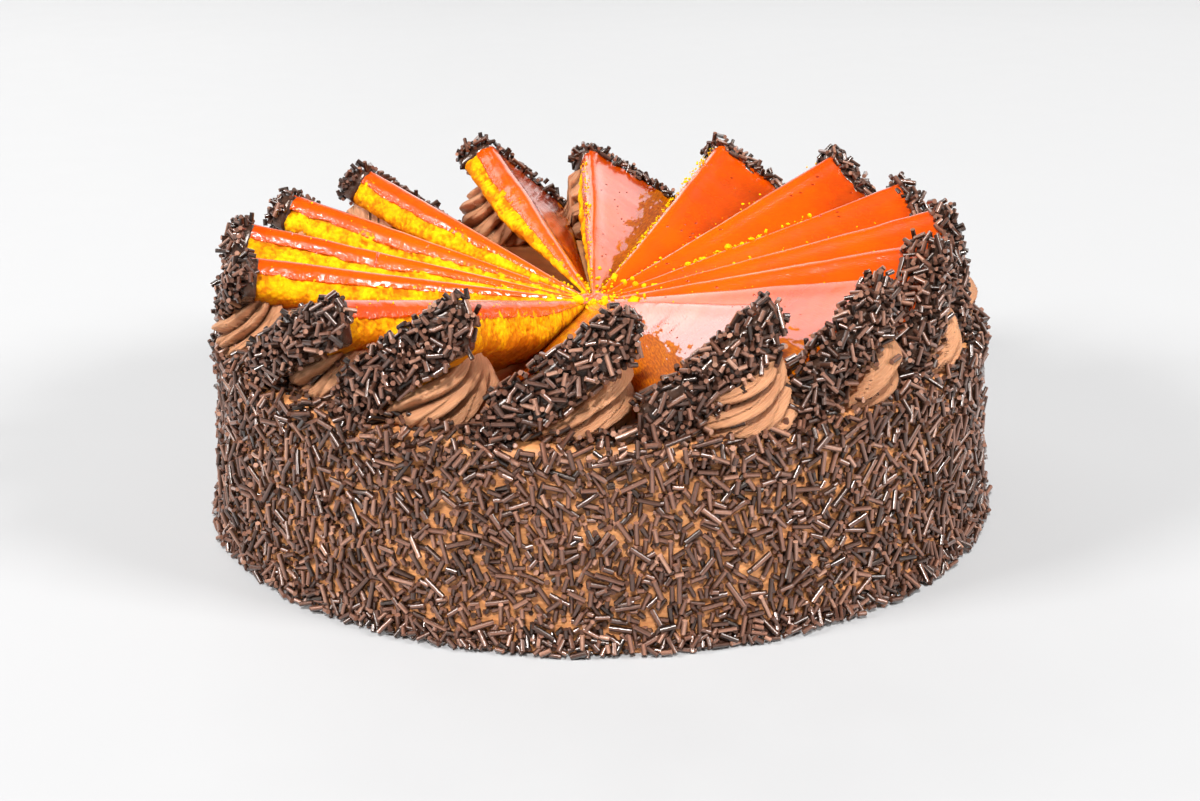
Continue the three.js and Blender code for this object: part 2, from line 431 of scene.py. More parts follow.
def chocolate_look():
    """The dip: dark, glossy and set in soft lumps."""
    look = Look("dipped chocolate", Specular_IOR_Level=0.35, Specular_Tint=(1.0, 0.80, 0.68, 1),
                Coat_Weight=0.45, Coat_Roughness=0.14)
    place = look.place()
    color = look.ramp(look.noise(place, 180, 3), (0.3, (0.026, 0.012, 0.008)), (0.7, (0.070, 0.034, 0.022)))
    return look.finish(Base_Color=color, Roughness=look.spread(look.noise(place, 420, 2), 0.18, 0.34),
                       Normal=look.bump(look.noise(place, 330, 3), 0.35))


def caramel_look():
    """Hard caramel: glassy orange, and dull amber in streaks where it ran thin over the baked sponge."""
    look = Look("caramel glaze", Coat_Roughness=0.05, Coat_IOR=1.5, Subsurface_Weight=0.12,
                Subsurface_Scale=1.6 * MM, Subsurface_Radius=(1.0, 0.2, 0.02))
    place = look.place()
    along = look.stored("along", "Vector")
    radius = look.node("SeparateXYZ", Vector=along).outputs["X"]
    cloud = look.noise(place, 38, 4, 0.6)
    grain = look.noise(look.stretched(along, (0.3, 2.2, 1.0)), 1.0, 3, 0.6)
    ragged = look.noise(look.stretched(along, (0.10, 0.32, 1.0)), 1.0, 5, 0.6)
    edge = look.stored("bare")
    bare = look.span(look.add(edge, look.spread(ragged, -0.20, 0.20)), -0.012, 0.012)
    shade = look.add(
        look.span(cloud, 0.35, 0.7, 0.0, 0.5), look.spread(grain, -0.12, 0.12),
        look.span(edge, -0.9, -0.2, -0.1, 0.3), look.span(radius, 55, 116, -0.05, 0.4))
    glaze = look.ramp(
        shade, (0.0, (0.76, 0.108, 0.000)), (0.45, (0.70, 0.076, 0.000)), (1.0, (0.42, 0.040, 0.000)))
    thin = look.ramp(
        look.add(look.spread(grain, 0, 1), look.spread(cloud, -0.3, 0.3)),
        (0.0, (0.32, 0.055, 0.000)), (0.6, (0.60, 0.140, 0.001)), (1.0, (0.76, 0.225, 0.002)))
    distance = look.cells(look.stretched(along, (0.18, 0.40, 1.0)), 1.0)
    pits = look.pits(distance, 0.06, 0.14, look.noise(place, 90, 1), 0.50)
    # Painted shade in the bubble pits, which also get a bump.
    color = look.mix(pits, (0.50, 0.035, 0.001), look.mix(bare, glaze, thin))
    beads = look.times(look.stored("lip"), look.span(look.noise(place, 620, 2), 0.45, 0.7))
    normal = look.bump(look.add(look.noise(place, 110, 2), look.times(grain, 0.3)), 0.2)
    normal = look.bump(pits, 0.5, look.bump(beads, 0.45, normal))
    return look.finish(
        Base_Color=color, Normal=normal, Coat_Normal=normal,
        Coat_Weight=look.span(bare, 0, 1, 1.0, 0.0),
        Specular_IOR_Level=look.span(bare, 0, 1, 0.4, 0.05),
        Roughness=look.add(look.spread(cloud, 0.18, 0.30), look.span(bare, 0, 1, 0, 0.25)))


def sponge_look():
    """Egg-yellow sponge: open crumb with painted shade, amber, in its holes and cell edges and lower down
    its sides, amber also where caramel seeped in, and brown in its skin.
    """
    look = Look("yellow sponge", Specular_IOR_Level=0.12, Subsurface_Weight=0.25,
                Subsurface_Scale=1.4 * MM, Subsurface_Radius=(1.0, 0.55, 0.05))
    place = look.place()
    fine = look.noise(place, 900, 3, 0.6)
    cells = look.span(look.cells(place, 620), 0.1, 0.7)
    cloud = look.noise(place, 130, 4, 0.6)
    # Painted shade and light: darker in the holes and at the cell edges, where the mesh and the bump dip,
    # lighter on the bumps.
    level = look.add(
        look.times(look.stored("pore"), 0.65), look.spread(fine, -0.16, 0.16),
        look.span(cloud, 0.32, 0.68, -0.14, 0.40), look.span(cells, 0, 1, 0.12, -0.12),
        look.times(look.stored("soak"), -0.72))
    color = look.ramp(
        level, (0.0, (0.56, 0.17, 0.000)), (0.25, (0.77, 0.33, 0.000)),
        (0.55, (0.84, 0.47, 0.000)), (0.9, (0.87, 0.59, 0.002)))
    baked = look.add(look.stored("crust"), look.spread(cloud, -0.22, 0.22))
    color = look.mix(look.span(baked, 0.45, 1.1), color, (0.52, 0.17, 0.008))
    relief = look.add(look.times(fine, 0.5), look.times(cells, -0.5))
    return look.finish(Base_Color=color, Roughness=look.spread(fine, 0.7, 0.9),
                       Normal=look.bump(relief, 0.45))


def floor_look():
    """A pale floor, with painted light: paler towards the back, where the lamps reach it less."""
    look = Look("pale floor", Specular_IOR_Level=0.2)
    place = look.place()
    fine = look.noise(place, 30, 2)
    # Painted light: paler towards the back.
    far = look.span(look.node("SeparateXYZ", Vector=place).outputs["Y"], -0.3, 1.0, -0.05, 0.8)
    color = look.ramp(look.add(far, look.spread(fine, 0, 0.05)),
                      (0.0, (0.482, 0.482, 0.485)), (1.0, (0.598, 0.598, 0.601)))
    return look.finish(Base_Color=color, Roughness=look.spread(fine, 0.55, 0.65))


# ---------------------------------------------------------------- body

def wall_wave(angle):
    """How far the hand-spread wall strays from round."""
    return WALL_WAVE * (np.sin(3 * angle + 0.6) + 0.7 * np.sin(5 * angle + 2.1) - 1.7)


def cream_relief(points):
    """Spatula marks and bumps in the cream, in millimetres."""
    smears = rough(points * (0.5, 0.5, 1.6), 9, 11, 3)
    return 0.75 * smears + 0.28 * rough(points, 3.2, 17)


def profile(v):
    """Radius, height, and the outward normal's parts, v millimetres along the body from its foot."""
    curve = RIM_ROUNDING * math.pi / 2
    share = np.clip(v / SHOULDER, 0, 1)
    bend = 0.4  # the wall leans in more from this share of its height
    low, middle, high = CREAM_FOOT_RADIUS, CREAM_WALL_RADIUS, CREAM_RIM_RADIUS
    lower = low + (middle - low) * np.clip(share / bend, 0, 1)
    wall = np.where(share < bend, lower, middle + (high - middle) * (share - bend) / (1 - bend))
    lean = np.clip((v - SHOULDER) / curve, 0, 1) * math.pi / 2
    radius = wall - RIM_ROUNDING * (1 - np.cos(lean)) - np.maximum(v - SHOULDER - curve, 0)
    height = SHOULDER * share + RIM_ROUNDING * np.sin(lean)
    return radius, height, np.cos(lean), np.sin(lean)


def on_body(u, v):
    """The point, the two directions and the normal, u millimetres round the body and v up its profile."""
    angle = u / CREAM_WALL_RADIUS
    radius, height, out, up = profile(v)
    radius = radius + wall_wave(angle) * np.clip(v / 12, 0, 1)
    outward, along = round_frame(angle)
    out, up = out[..., None], up[..., None]
    point = outward * radius[..., None] + UP * height[..., None]
    return point, along, UP * out - outward * up, outward * out + UP * up


def make_core(material):
    """The cake itself, up to the surface of its cream, on a flat underside."""
    steps = np.concatenate([
        np.linspace(0, SHOULDER, 52), SHOULDER + np.linspace(0.9, 5.6, 6),
        SHOULDER + np.linspace(6.8, 40, 26), SHOULDER + np.linspace(50, CREAM_RIM_RADIUS - 2, 5)])
    around = np.arange(CORE_SIDES) * (TURN * CREAM_WALL_RADIUS / CORE_SIDES)
    v, u = grid(steps, around)
    point, _, _, normal = on_body(u, v)
    lift = cream_relief(point) * np.clip(v / 3, 0, 1)
    point += normal * lift[:, None]
    point[:, 2] = np.maximum(point[:, 2], 0)
    points = np.vstack([point, 0 * UP, CREAM_TOP * UP])
    core = make_mesh("cream_core", points, capped_faces(len(steps), CORE_SIDES), material)
    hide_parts("cake_body")


# ---------------------------------------------------------------- slices

def slice_frame(number):
    """How a slice lies: unit vectors along its low edge, across it and out of its top, and the way down its
    leaning cut, all from the corners of its caramel."""
    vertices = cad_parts[f"caramel_{number:02d}"].data.vertices
    arms = np.array([vertex.co for vertex in vertices], float) / MM - FAN_CENTRE
    rim = arms[np.abs(np.linalg.norm(arms, axis=1) - SLICE_RADIUS) < 0.004]
    turn = np.arctan2(rim[:, 1], rim[:, 0])
    middle = math.atan2(*rim[:, 1::-1].mean(axis=0))
    turn = (turn - middle + math.pi) % TURN - math.pi
    corner = rim[turn.argmin()]
    low = corner / SLICE_RADIUS
    normal = np.cross(low, rim[turn.argmax()])
    normal /= np.linalg.norm(normal)
    apart = np.linalg.norm(arms - corner, axis=1)
    down = arms[(apart > 1) & (apart < 5)][0] - corner
    down /= -(down @ normal)
    return SimpleNamespace(number=number, low=low, side=np.cross(normal, low), normal=normal, down=down)


def slice_ways(place, turn):
    """Unit vectors away from the fan's centre and sideways, at turn from a slice's low edge."""
    cosine, sine = np.cos(turn)[..., None], np.sin(turn)[..., None]
    return place.low * cosine + place.side * sine, place.side * cosine - place.low * sine


def on_slice(place, radius, turn, off=0.0, depth=0.0):
    """Points of a slice: radius from the fan's centre, turn from its low edge, off sideways and deep."""
    radius, turn, off, depth = np.broadcast_arrays(radius, turn, off, depth)
    outward, sideways = slice_ways(place, turn)
    flat = FAN_CENTRE + outward * radius[..., None] + sideways * off[..., None]
    return flat + place.down * depth[..., None]


def full_thickness(place):
    return THICK_SLICES.get(place.number, SLICE_THICKNESS)


def thickness(place, radius):
    return np.minimum(full_thickness(place), DEEP_TAPERS.get(place.number, TAPER) * radius + 0.3)


def caramel_section(radius, scale):
    """Turns, offsets, depths and kinds round one cut through the glaze: top 0, rolled edge to its drips 0 to
    1, underside 2."""
    roll = min(LIP_ROLL * scale, 0.4 * radius * SLICE_ANGLE)
    top = np.linspace(0, 1, 26) ** 0.85
    arc = np.linspace(0, math.pi / 2, 9)[1:]
    side = np.linspace(0, 1, 6)[1:]
    under = np.linspace(1, 0, 6)
    edge = SLICE_ANGLE - roll / radius
    turn = np.concatenate([edge * top, np.full(len(arc) + len(side) + 1, SLICE_ANGLE), under * edge])
    off = np.concatenate([0 * top, roll * (np.sin(arc) - 1), 0 * side, [-LIP_TUCK * scale], 0 * under])
    fall = LIP_DROP + (LIP_DEPTH - LIP_DROP) * side
    depth = scale * np.concatenate([0 * top, LIP_DROP * (1 - np.cos(arc)), fall, [LIP_DEPTH],
                                    0 * under + CARAMEL_UNDER])
    kind = np.concatenate([0 * top, 0.01 + 0 * arc, side, [1.0], 2 + 0 * under])
    return turn, off, depth, kind


def make_caramel(place, material):
    """The glaze on one slice, with a thick rolled lip that has run down the cut side in drips."""
    radii = np.concatenate([np.linspace(TIP_RADIUS, 12, 12), np.arange(12.8, DIP_RADIUS, 0.9), [DIP_RADIUS]])
    scales = np.clip(thickness(place, radii) / SLICE_THICKNESS, 0.1, 1)
    sections = np.stack([caramel_section(*cut) for cut in zip(radii, scales)], axis=1)
    rows, columns = sections.shape[1:]
    turn, off, depth, kind = sections.reshape(4, -1)
    radius, scale = np.repeat(radii, columns), np.repeat(scales, columns)
    inland = (SLICE_ANGLE - turn) * radius - off
    spot = stacked(radius, turn * radius, 31 * place.number)
    along = stacked(radius, 0, 17 * place.number)
    wave = 0.30 * rough(spot, 26, 41) + 0.10 * rough(spot, 6, 43)
    lift = 0.5 + 0.8 * np.exp(-((inland - 3) / 2.6) ** 2) - 0.5 * np.clip(1 - turn * radius / 4, 0, 1)
    hanging = np.where(kind <= 1, kind, 0)
    drip = 0.6 * rough(along, 4.0, 47, 3) + 0.9 * rough(along, 14, 49)
    depth = depth + scale * (hanging * drip - (kind < 0.5) * (wave + lift * np.clip(inland / 1.2, 0, 1)))
    lip = np.exp(-(inland / 1.5) ** 2) * (kind <= 1)
    bulge = 0.55 + 0.5 * rough(along, 12, 53) + 0.15 * rough(spot + depth[:, None], 2.6, 57)
    off = off + scale * lip * bulge
    points = on_slice(place, radius, turn, off, depth)
    faces = tube_faces(points, rows, columns)
    piece = make_mesh(f"caramel_glaze_{place.number:02d}", points, faces, material)
    bare = BARE_EDGES.get(place.number, BARE_EDGE) - np.clip(turn / SLICE_ANGLE, 0, 1)
    along = stacked(radius, turn * radius, 7 * place.number)
    give_values(piece, bare=bare, lip=lip * hanging, along=along)
    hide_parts(f"caramel_{place.number:02d}")


def make_sponge(place, material):
    """The sponge of one slice. Its cut side, under the raised edge, is fine enough to hold its crumb."""
    radii = np.concatenate([np.linspace(TIP_RADIUS, 10, 9), np.arange(10.6, DIP_RADIUS, 0.6)])
    full = thickness(place, radii)[:, None]
    start = 0.16 * full  # inside the glaze
    top, side = np.linspace(0.03, 1, 5)[:-1], np.linspace(0, 1, 26)
    under, rise = np.linspace(1, 0, 12)[1:], np.linspace(1, 0, 7)[1:-1]
    turn = np.concatenate([top, 0 * side + 1, under, 0 * rise]) * SLICE_ANGLE
    level = np.concatenate([0 * top, side, 0 * under + 1, rise])
    kind = np.repeat([TOP, CUT, UNDER, LOW], [len(top), len(side), len(under), len(rise)])
    rows, columns = len(radii), len(kind)
    depth = (start + (full - start) * level).ravel()
    turn, level, kind = (np.tile(part, rows) for part in (turn, level, kind))
    radius = np.repeat(radii, columns)
    size = np.clip(radius / 55, 0.22, 1)
    rounded = np.clip((level - 0.72) / 0.28, 0, 1)
    face = 0.35 * np.sin(level * math.pi) - SPONGE_TUCK * (1 - np.sqrt(1 - rounded**2))
    off = size * np.where(kind == CUT, face, np.where(kind == UNDER, -SPONGE_TUCK, 0))
    spot = stacked(radius, turn * radius + off, depth + 40 * place.number)
    crumb = 0.62 * rough(spot, 3.3, 61, 3) + 0.38 * rough(spot, 1.1, 67)
    hole = np.clip(rough(spot, 1.9, 71) - 0.22, 0, 1)
    push = size * (1.15 * crumb - 1.5 * hole)
    off = off + np.where(kind == CUT, push, 0) - np.where(kind == LOW, push, 0)
    along = stacked(radius, 0, 9 * place.number)
    sag = 0.9 * rough(along, 13, 73) + 0.5 * rough(along, 4, 79)
    depth = depth + size * np.where(kind == UNDER, push, 0) + size * sag * np.clip(level * 2 - 1, 0, 1)
    points = on_slice(place, radius, turn, off, depth)
    faces = tube_faces(points, rows, columns)
    piece = make_mesh(f"sponge_slice_{place.number:02d}", points, faces, material)
    # pore: painted shade and light, dark in the crumb's holes and light on its bumps.
    pore = np.clip(0.55 + 0.9 * crumb - 1.3 * hole, 0, 1)
    # Caramel seeped into the top of the sponge, plus painted shade lower down its sides and on its
    # underside.
    soak = np.exp(-level / 0.22) + 0.55 * np.clip((level - 0.62) / 0.3, 0, 1)
    soak = np.clip(soak + 0.3 * rough(spot, 7, 81), 0, 1)
    crust = np.where(kind == UNDER, 0.9, np.clip(level * 6 - 5.4, 0, 0.6))
    give_values(piece, pore=pore, soak=soak, crust=np.where(kind == LOW, 0.5, crust))
    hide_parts(f"sponge_{place.number:02d}")


def make_hub(material):
    """The caramel that has pooled where the tips of all the slices meet."""
    rows, sides = 14, 56
    share, angle = ring_grid(np.linspace(0.02, 1, rows), sides)
    outward, _ = round_frame(angle)
    reach = HUB_RADIUS * share * (1 + 0.35 * rough(3 * outward, 1.6, 101))
    flat = outward * reach[:, None]
    height = HUB_TOP * np.cos(share * math.pi / 2) - 1.6 * share**6 + 0.7 * rough(flat, 2.6, 103, 3)
    points = FAN_CENTRE + flat + UP * height[:, None]
    points = np.vstack([points, FAN_CENTRE + HUB_TOP * UP, FAN_CENTRE - HUB_BASE * UP])
    faces = [group[:, ::-1] for group in capped_faces(rows, sides)]
    piece = make_mesh("hub_caramel", points, faces, material)
    count = len(points)
    give_values(piece, bare=np.full(count, -0.5), lip=np.full(count, 0.3), along=points)


# ---------------------------------------------------------------- dips

def dip_section(place, v):
    """Round the dip's cut: position and normal along the slice and through it, v millimetres from its
    inner upper edge, over the top, down the outer end and back under."""
    corner = DIP_CORNER
    width = 2 * DIP_REACH
    deep = full_thickness(place) + 2 * DIP_OVER
    further = DEEP_DIPS.get(place.number, 0)
    ends = np.cumsum([width - corner + further, corner * math.pi / 2, deep - 2 * corner,
                      corner * math.pi / 2, width - corner])
    inner, outer = DIP_MIDDLE - DIP_REACH - further, DIP_MIDDLE + DIP_REACH
    v = np.clip(v, 0, ends[-1] - 1e-6)
    piece = np.searchsorted(ends, v, side="right")
    along = v - np.concatenate([[0], ends])[piece]
    bend = along / corner
    zero = 0 * v
    radius = np.choose(piece, [inner + along, outer - corner + corner * np.sin(bend), outer + zero,
                               outer - corner + corner * np.cos(bend), outer - corner - along])
    depth = np.choose(piece, [zero, corner - corner * np.cos(bend), corner + along,
                              deep - corner + corner * np.sin(bend), deep + zero])
    out = np.choose(piece, [zero, np.sin(bend), zero + 1, np.cos(bend), zero])
    up = np.choose(piece, [zero + 1, np.cos(bend), zero, -np.sin(bend), zero - 1])
    return radius, depth - DIP_OVER, out, up


def dip_length(place):
    deep = full_thickness(place) + 2 * DIP_OVER + DEEP_DIPS.get(place.number, 0)
    return 2 * (2 * DIP_REACH - DIP_CORNER) + math.pi * DIP_CORNER + deep - 2 * DIP_CORNER


DIP_ARC = SLICE_ANGLE * DIP_MIDDLE
CAP_ARC = DIP_CAP * math.pi / 2 + 1.0


def on_dip(place, u, v):
    """The point, the two directions and the normal on a slice's dip: u along the arc, v round its cut."""
    radius, depth, out, up = dip_section(place, v)
    deep = full_thickness(place)
    past = np.where(u < 0, u, np.maximum(u - DIP_ARC, 0))
    lean = np.clip(past / CAP_ARC, -1, 1) * (math.pi / 2)
    shrink = np.cos(lean)
    radius = DIP_MIDDLE + (radius - DIP_MIDDLE) * shrink
    depth = deep / 2 + (depth - deep / 2) * shrink
    turn = np.clip(u, 0, DIP_ARC) / DIP_MIDDLE
    off = DIP_CAP * np.sin(lean)
    point = on_slice(place, radius, turn, off, depth)
    outward, sideways = slice_ways(place, turn)
    flat = outward * out[..., None] + place.normal * up[..., None]
    normal = unit(flat * shrink[..., None] + sideways * np.sin(lean)[..., None])
    along = unit(np.cross(np.cross(flat, sideways), normal))
    return point, along, np.cross(along, normal), normal


def make_dips(places, material):
    """The chocolate on the outer ends of all slices, in one piece, lumpy and with a wandering inner edge."""
    shapes = []
    for place in places:
        arc = np.linspace(-CAP_ARC, DIP_ARC + CAP_ARC, 62)
        ring = np.linspace(0, dip_length(place), 38)
        u, v = grid(arc, ring)
        points, _, _, normal = on_dip(place, u, v)
        lumps = 0.55 * rough(points, 4.5, 83, 3)
        shift = 1.3 * rough(points * (1, 1, 0.2), 4.5, 89, 2)
        inner = np.clip(1 - np.minimum(v, ring[-1] - v) / 3.0, 0, 1)
        outward = on_slice(place, 1.0, u / DIP_MIDDLE) - FAN_CENTRE
        points = points + normal * lumps[:, None] + outward * (inner * shift)[:, None]
        shapes.append((points, tube_faces(points, len(arc), len(ring))))
    piece = make_mesh("chocolate_dips", *joined(shapes), material)


# ---------------------------------------------------------------- rosettes

def press_under(points, place, depth, reach):
    """Lowers the points over a slice's footprint to depth under its top, as if the slice was set on them."""
    arms = points - FAN_CENTRE - (place.down + place.normal) * depth
    basis = np.array([place.low[:2], place.side[:2]]).T
    parts = np.linalg.solve(basis, arms[:, :2].T)
    radius = np.hypot(*parts)
    turn = np.arctan2(parts[1], parts[0])
    inside = (radius < reach) & (turn > 0) & (turn < SLICE_ANGLE)
    arms = points - FAN_CENTRE
    surface = FAN_CENTRE[2] - (depth + arms[:, :2] @ place.normal[:2]) / place.normal[2]
    lowered = np.where(inside, np.minimum(points[:, 2], surface), points[:, 2])
    return np.column_stack([points[:, :2], lowered])


def petal(phase):
    """Across one ridge of a star-tipped swirl: a broad round face, then a steep fall into the groove."""
    crest = 0.90
    rise = np.sin(math.pi / 2 * np.clip(phase / crest, 0, 1)) ** 0.7
    fall = 0.5 + 0.5 * np.cos(math.pi * np.clip((phase - crest) / (1 - crest), 0, 1))
    return np.where(phase < crest, rise, fall)


def rosette_middle(number):
    """The middle of a rosette's foot: the CAD rosette's outermost foot corner shows which way it lies."""
    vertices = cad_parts[f"rosette_{number:02d}"].data.vertices
    foot = np.array([vertex.co for vertex in vertices if vertex.co.z < (CREAM_TOP + 0.4) * MM]) / MM
    arms = (foot - FAN_CENTRE) * (1, 1, 0)
    far = np.linalg.norm(arms, axis=1)
    outward = arms[far.argmax()] / far.max()
    middle = FAN_CENTRE + outward * (ROSETTE_RING - ROSETTE_SET_BACK.get(number, 0))
    middle[2] = CREAM_TOP
    return middle, outward


def make_rosette(number, places, rng, material):
    """One piped swirl: ridges that twist up from a broad foot to a peak, pressed down by its slice."""
    middle, outward = rosette_middle(number)
    sideways = np.array([-outward[1], outward[0], 0])
    share, angle = ring_grid(np.linspace(0, 1, ROSETTE_RINGS), ROSETTE_SIDES)
    wide = ROSETTE_RADIUS * rng.uniform(0.94, 1.04) * ROSETTE_SMALLER.get(number, 1)
    body = np.interp(share, *ROSETTE_PROFILE)
    twist = ROSETTE_TWIST * rng.uniform(0.85, 1.15) * share**0.95 + rng.uniform(0, TURN)
    wobble = 0.36 * np.sin(angle + rng.uniform(0, TURN)) + 0.24 * np.sin(2 * angle + rng.uniform(0, TURN))
    wobble = wobble + 0.16 * np.sin(5 * share + rng.uniform(0, TURN))
    ridges = MORE_RIDGES.get(number, ROSETTE_RIDGES)
    phase = (ridges * (angle - twist + wobble) / TURN) % 1
    uneven = 1 + 0.09 * np.sin(2 * (angle - twist) + rng.uniform(0, TURN))
    groove = ROSETTE_GROOVE * np.interp(share, [0, 0.06, 0.30, 0.8, 1], [0.15, 0.45, 1, 1, 0.6])
    crease = 0.09 * petal((2.3 * phase + 3 * share) % 1) + 0.015 * petal(9 * phase % 1)
    reach = wide * body * uneven * (1 - groove * (1 - petal(phase)) + crease)
    lean = ROSETTE_LEAN * rng.uniform(0.8, 1.25) * share**1.25
    outward_lean = rng.uniform(-1.5, 2.5) * share
    lift = ROSETTE_HEIGHT * rng.uniform(0.96, 1.05) * share
    lift = lift + 2.2 * (petal(phase) - 0.5) * np.sin(math.pi * share)
    x = (reach * np.cos(angle) + outward_lean)[:, None]
    y = (reach * np.sin(angle) + lean)[:, None]
    points = middle + outward * x + sideways * y + UP * lift[:, None]
    points[:, 2] += ROSETTE_RAISE
    points += 0.22 * rough(points, 2.4, 97)[:, None] * outward
    own, following = places[number - 1], places[number % SLICES]
    points = press_under(points, own, full_thickness(own) - 0.2, SLICE_RADIUS + 1.6)
    points = press_under(points, following, 2.0, SLICE_RADIUS + 1.0)
    ends = [points[:ROSETTE_SIDES].mean(axis=0), points[-ROSETTE_SIDES:].mean(axis=0)]
    points = np.vstack([points, ends])
    faces = capped_faces(ROSETTE_RINGS, ROSETTE_SIDES)
    piece = make_mesh(f"piped_rosette_{number:02d}", points, faces, material)
    swirl = angle - twist
    flow = stacked(34 * np.cos(swirl), 34 * np.sin(swirl), 60 * share + 9 * number)
    # Painted shade: strongest in the grooves between ridges, fading out at the foot.
    fold = np.clip(1.05 - 1.5 * petal(phase), 0, 1) * np.clip(3.5 * share, 0, 1)
    flow, fold = np.vstack([flow, 0 * UP, 60 * UP]), np.concatenate([fold, [0, 0]])
    give_values(piece, flow=flow, fold=fold)
    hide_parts(f"rosette_{number:02d}")
    return points


# ---------------------------------------------------------------- sprinkles

def sprinkle_sizes(rng, number, lengths):
    """Half lengths and radii."""
    shortest, longest = lengths
    half = 0.5 * (shortest + (longest - shortest) * rng.beta(1.2, 2.3, number))
    return half, SPRINKLE_RADIUS * rng.uniform(0.88, 1.12, number)


def heading(along, climb, angle):
    return along * np.cos(angle)[:, None] + climb * np.sin(angle)[:, None]


def chosen_spots(rng, chart, number, lengths, overhang, steep):
    """Places where sprinkles could lie flat on a chart: u, v, angle, half length and radius of each.

    Left out are those that would pass the chart's ends or whose tips would stand off its curve by more than
    about overhang. The share called steep runs mostly up and down."""
    u = chart.start_u + rng.uniform(0, chart.wide, number)
    v = rng.uniform(*chart.band, number)
    angle = rng.uniform(0, math.pi, number)
    upright = rng.random(number) < steep
    angle = np.where(upright, rng.normal(math.pi / 2, 0.4, number), angle)
    half, radius = sprinkle_sizes(rng, number, lengths)
    point, along, climb, _ = chart.on_surface(u, v)
    step_u, step_v = half * np.cos(angle), half * np.sin(angle)
    direction = heading(along, climb, angle)
    kept = (v - np.abs(step_v) > chart.lowest) & chart.clear(point)
    allowed = overhang * rng.uniform(0.3, 1.7, number) * chart.slack(u)
    for sign in (-1, 1):
        under = chart.on_surface(u + sign * step_u, v + sign * step_v)[0]
        tip = point + direction * (sign * half)[:, None]
        kept &= np.linalg.norm(tip - under, axis=1) < allowed
    return np.stack([u, v, angle, half, radius], axis=1)[kept]


def rod_cells(chart, u, v, direction, s, across):
    """The chart's cells under points s along a rod and across it."""
    cosine, sine = direction
    cell_u = (u + s[:, None] * cosine - across[None, :] * sine - chart.start_u) / CELL
    cell_v = (v + s[:, None] * sine + across[None, :] * cosine) / CELL
    wide, high = chart.heights.shape
    cell_u = cell_u.astype(int)
    cell_u = cell_u % wide if chart.wraps else np.clip(cell_u, 0, wide - 1)
    return cell_u, np.clip(cell_v.astype(int), 0, high - 1)


def resting_height(chart, cells, s, dome):
    """Height and slope of a rod's axis where it rests on the chart, from the heights under its spots."""
    support = (chart.heights[cells] + dome).max(axis=1)
    count = len(s) // 2
    left, right = s[:count], s[count:]
    low, high = support[:count], support[count:]
    gap = right[None, :] - left[:, None]
    axis = (low[:, None] * right[None, :] - high[None, :] * left[:, None]) / gap
    i, j = np.unravel_index(axis.argmax(), axis.shape)
    return axis[i, j], (high[j] - low[i]) / gap[i, j]


def stamp_rod(chart, u, v, direction, half, radius, axis, slope):
    """Raises the chart's heights to the top of a rod that now lies there."""
    s = np.arange(-half, half + 0.01, 0.75 * CELL)
    across = np.arange(-radius, radius + 0.01, 0.75 * CELL)
    cells = rod_cells(chart, u, v, direction, s, across)
    top = axis + slope * s[:, None] + np.sqrt(np.maximum(radius**2 - across**2, 0))[None, :]
    np.maximum.at(chart.heights, cells, top)


def stand_rod(rng, chart, u, v, angle, half, radius, ground):
    """A sprinkle stuck in nearly upright, so that its end shows."""
    slope = math.tan(rng.uniform(0.85, 1.48))
    shown = chart.shown * rng.uniform(0.2, 1.0)
    axis = ground + shown - half * slope / math.hypot(1, slope)
    direction = (math.cos(angle), math.sin(angle))
    stamp_rod(chart, u, v, direction, radius, radius, ground + shown - radius, 0.0)
    return u, v, angle, half, radius, axis, slope, STANDING_RISE


def drop_sprinkles(rng, chart, spots, count, stack, bare, standing, steepest=0.42):
    """Drops sprinkles one by one on a chart, at most count of them, and returns how each lies.

    The share called bare falls only where little lies yet, and none may lie more than stack high."""
    laid = []
    offsets = np.array([-0.92, -0.6, -0.3, -0.08, 0.08, 0.3, 0.6, 0.92])
    luck = rng.random((len(spots), 3))
    for (u, v, angle, half, radius), (first, second, third) in zip(spots.tolist(), luck.tolist()):
        if len(laid) == count:
            break
        ground, level = chart.ground(u, v)
        if level - ground > (THIN_COVER if first < bare else stack):
            continue
        if second < standing:
            laid.append(stand_rod(rng, chart, u, v, angle, half, radius, level))
            continue
        direction = (math.cos(angle), math.sin(angle))
        across = np.array([-0.6, 0.0, 0.6]) * radius
        cells = rod_cells(chart, u, v, direction, offsets * half, across)
        axis, slope = resting_height(chart, cells, offsets * half, np.sqrt(radius**2 - across**2)[None, :])
        if axis - radius - ground > stack or abs(slope) > steepest:
            continue
        axis -= (0.02 + 0.3 * third) * radius
        laid.append((u, v, angle, half, radius, axis, slope, axis - ground))
        stamp_rod(chart, u, v, direction, half, radius, axis, slope)
    return np.array(laid)


def lay_out(chart, laid):
    """Where dropped sprinkles are: middles, directions, half lengths, radii, how high they lie, and the way
    out of the surface."""
    u, v, angle, half, radius, axis, slope, rise = laid.T
    point, along, climb, normal = chart.on_surface(u, v)
    direction = unit(heading(along, climb, angle) + normal * slope[:, None])
    middle = point + normal * axis[:, None]
    lowest = middle[:, 2] - np.abs(direction[:, 2]) * half - radius
    middle[:, 2] -= np.minimum(lowest, 0)
    return middle, direction, half, radius, rise, normal


def scatter(rng, chart, number, lengths, overhang, count, stack, steep=0.0, **limits):
    """A batch of sprinkles: at most count of number tries stay on the chart."""
    spots = chosen_spots(rng, chart, number, lengths, overhang, steep)
    return lay_out(chart, drop_sprinkles(rng, chart, spots, count, stack, **limits))


